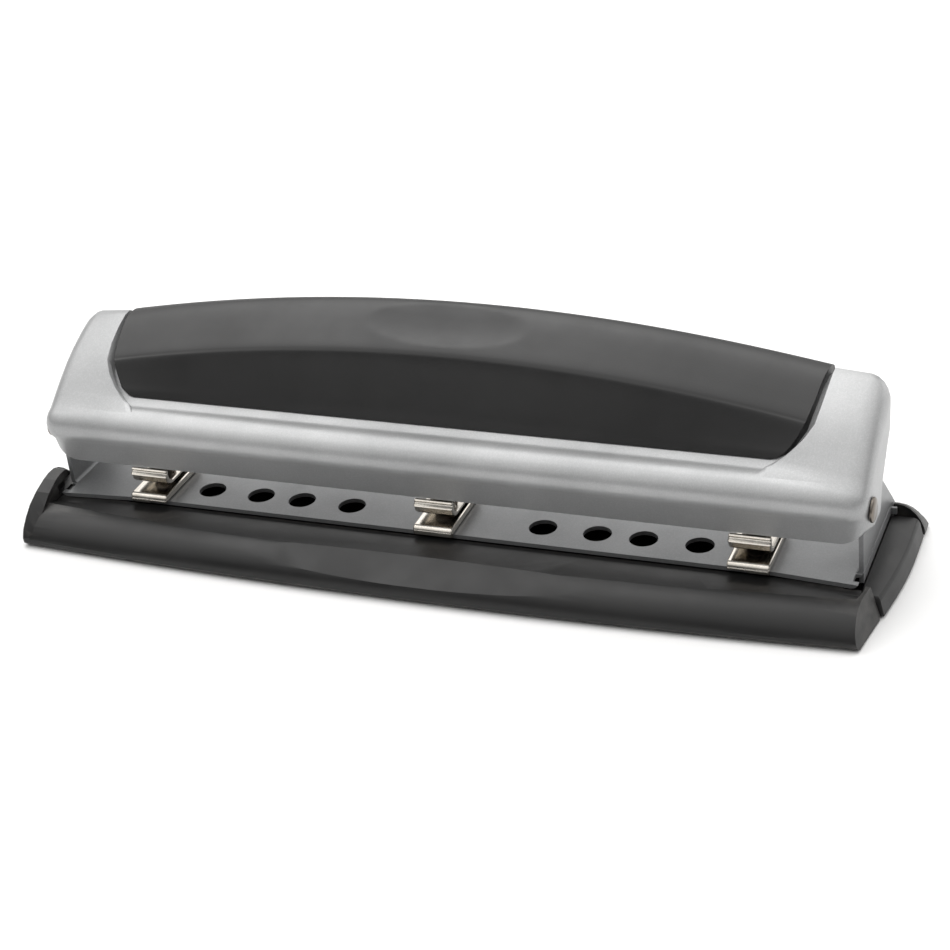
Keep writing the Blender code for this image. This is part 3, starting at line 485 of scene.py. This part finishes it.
# Sections from the middle to each end, and how strongly they crowd towards the ends.
HALF_SECTIONS = 120
CROWDING = 1.25

DIMPLE_X, DIMPLE_Y = 0.5, 17.2
DIMPLE_HALF_LENGTH, DIMPLE_HALF_WIDTH = 29.0, 8.4
DIMPLE_DEPTH = 1.9


def follow(table, value):
    """A table's value at a place: straight between its points and level past its ends."""
    for (low, first), (high, second) in zip(table, table[1:]):
        if value <= high:
            share = min(max((value - low) / (high - low), 0.0), 1.0)
            return first + (second - first) * share
    return table[-1][1]


def curve_through(points, steps):
    """A Catmull-Rom curve through points of (y, z)."""
    ends = [points[0], *points, points[-1]]
    line = []
    for i in range(1, len(ends) - 2):
        p0, p1, p2, p3 = (Vector(ends[i + k]) for k in (-1, 0, 1, 2))
        for s in range(steps):
            t = s / steps
            line.append(
                0.5 * (2 * p1 + (p2 - p0) * t + (2 * p0 - 5 * p1 + 4 * p2 - p3) * t * t
                       + (3 * p1 - p0 - 3 * p2 + p3) * t ** 3)
            )
    line.append(Vector(points[-1]))
    return line


def arched(x, y, z):
    """A height on the middle section, brought down towards the grip's ends."""
    drop = GRIP_DROP * (x / DROP_X) ** 2
    if y < RIDGE_Y:
        return z - drop * (z - FRONT_FOOT_Z) / (RIDGE_Z - FRONT_FOOT_Z)
    if y > CROWN_Y:
        return z - drop * (z - BACK_FOOT_Z) / (CROWN_Z - BACK_FOOT_Z)
    return z - drop


def dimple(x, y):
    """How deep the thumb rest in the middle of the grip's top is at a point."""
    away = math.hypot((x - DIMPLE_X) / DIMPLE_HALF_LENGTH, (y - DIMPLE_Y) / DIMPLE_HALF_WIDTH)
    return DIMPLE_DEPTH * max(1 - away * away, 0.0)


def close_end(build, top, low):
    """Triangles between the outer and the inner line of an end section, both taken from the front."""
    i = j = 0
    while i < len(top) - 1 or j < len(low) - 1:
        if j == len(low) - 1 or (i < len(top) - 1 and top[i + 1].co.y < low[j + 1].co.y):
            build.faces.new((top[i], top[i + 1], low[j]))
            i += 1
        else:
            build.faces.new((top[i], low[j + 1], low[j]))
            j += 1


def grip_mesh():
    """The grip's cover, as one closed shell of sections along X."""
    line = curve_through(GRIP_TOP, CURVE_STEPS)
    build = bmesh.new()
    rows = []
    for i in range(-HALF_SECTIONS, HALF_SECTIONS + 1):
        share = i / HALF_SECTIONS
        share = math.copysign(1 - (1 - abs(share)) ** CROWDING, share)
        ring = []
        for y, z in line:
            x = share * follow(GRIP_ENDS, y)
            ring.append(build.verts.new(place(x, y, arched(x, y, z) - dimple(x, y))))
        for y, z in GRIP_UNDER:
            x = share * (follow(GRIP_ENDS, y) - UNDER_INSET)
            ring.append(build.verts.new(place(x, y, z)))
        rows.append(ring)
    bridge(build, rows)
    for row in (rows[0], rows[-1]):
        close_end(build, row[:len(line)], row[:len(line) - 1:-1])
    bmesh.ops.recalc_face_normals(build, faces=build.faces)
    return build


grip = new_piece("grip_cover_look", grip_mesh())
soften(grip, angle_deg=34.0, bevel=1.0, segments=4)
stand_in(grip, "grip_cover")


# Floor, light and camera

# How bright the tent is: from just above the floor to overhead, then from front to back and left to right.
SKY_RISE = (0.15, 0.8, 0.14, 1.85)
SKY_FRONT_BACK = (0.55, 1.45)
SKY_LEFT_RIGHT = (1.2, 0.7)
SKY_SPAN = (-0.9, 0.9)
SKY_COLOUR = (1.0, 0.995, 0.985, 1.0)

FLOOR_HALF_M = 60.0

CAMERA_SPOT = (263.8, -566.6, 367.0)
CAMERA_AZIMUTH_DEG = 23.93
CAMERA_ELEVATION_DEG = 29.41
CAMERA_ROLL_DEG = -6.25
CAMERA_LENS = 81.1
SENSOR_WIDTH = 36.0


def floor_material():
    m = Nodes("studio_floor")
    m.drive(Base_Color=m.blend(m.noise(3.0, detail=2.0), (0.86, 0.86, 0.86), (0.88, 0.88, 0.88)))
    m.set(Roughness=0.8)
    return m.material


def make_floor():
    build = bmesh.new()
    corners = [(-1, -1), (1, -1), (1, 1), (-1, 1)]
    build.faces.new([build.verts.new((x * FLOOR_HALF_M, y * FLOOR_HALF_M, 0.0)) for x, y in corners])
    floor = new_piece("studio_floor", build)
    floor.data.materials.append(floor_material())


def area_light(name, spot, aim, size, power):
    """A white rectangular lamp at spot, turned to aim. Places and sizes are in metres."""
    light = bpy.data.lights.new(name, "AREA")
    light.shape = "RECTANGLE"
    light.size, light.size_y = size
    light.energy = power
    lamp = bpy.data.objects.new(name, light)
    lamp.location = spot
    lamp.rotation_mode = "QUATERNION"
    lamp.rotation_quaternion = (Vector(aim) - Vector(spot)).to_track_quat("-Z", "Y")
    bpy.context.scene.collection.objects.link(lamp)


def make_world():
    """A soft tent: dim near the floor, bright overhead, a little brighter from behind and the left."""
    world = bpy.data.worlds.new("studio")
    world.use_nodes = True
    tree = world.node_tree

    def mapped(source, low, high, first, last):
        node = tree.nodes.new("ShaderNodeMapRange")
        node.interpolation_type = "SMOOTHSTEP"
        for key, value in zip(("From Min", "From Max", "To Min", "To Max"), (low, high, first, last)):
            node.inputs[key].default_value = value
        tree.links.new(source, node.inputs["Value"])
        return node.outputs["Result"]

    def product(first, second):
        node = tree.nodes.new("ShaderNodeMath")
        node.operation = "MULTIPLY"
        tree.links.new(first, node.inputs[0])
        tree.links.new(second, node.inputs[1])
        return node.outputs["Value"]

    split = tree.nodes.new("ShaderNodeSeparateXYZ")
    tree.links.new(tree.nodes.new("ShaderNodeTexCoord").outputs["Generated"], split.inputs["Vector"])
    level = mapped(split.outputs["Z"], *SKY_RISE)
    level = product(level, mapped(split.outputs["Y"], *SKY_SPAN, *SKY_FRONT_BACK))
    level = product(level, mapped(split.outputs["X"], *SKY_SPAN, *SKY_LEFT_RIGHT))
    back = tree.nodes["Background"]
    back.inputs["Color"].default_value = SKY_COLOUR
    tree.links.new(level, back.inputs["Strength"])
    bpy.context.scene.world = world


def make_camera():
    """The photograph's view. The camera looks along its own -Z, so its Z axis points back at it."""
    azimuth = math.radians(CAMERA_AZIMUTH_DEG)
    elevation = math.radians(CAMERA_ELEVATION_DEG)
    roll = math.radians(CAMERA_ROLL_DEG)
    flat = Vector((math.sin(azimuth), -math.cos(azimuth), 0.0))
    back = flat * math.cos(elevation) + Vector((0.0, 0.0, math.sin(elevation)))
    right = Vector((math.cos(azimuth), math.sin(azimuth), 0.0))
    up = back.cross(right)
    tilted_right = right * math.cos(roll) + up * math.sin(roll)
    tilted_up = up * math.cos(roll) - right * math.sin(roll)
    data = bpy.data.cameras.new("camera")
    data.lens = CAMERA_LENS
    data.sensor_width = SENSOR_WIDTH
    camera = bpy.data.objects.new("camera", data)
    turn = Matrix((tilted_right, tilted_up, back)).transposed()
    camera.matrix_world = Matrix.Translation(place(*CAMERA_SPOT)) @ turn.to_4x4()
    bpy.context.scene.collection.objects.link(camera)
    bpy.context.scene.camera = camera


make_floor()
make_world()
make_camera()
area_light("overhead", spot=(-0.25, 0.25, 0.95), aim=(0.0, 0.0, 0.03), size=(0.9, 0.6), power=1.6)
area_light("back_right", spot=(0.75, 0.95, 0.2), aim=(0.1, 0.0, 0.02), size=(0.6, 0.25), power=0.9)
bpy.context.scene.view_settings.view_transform = "Standard"
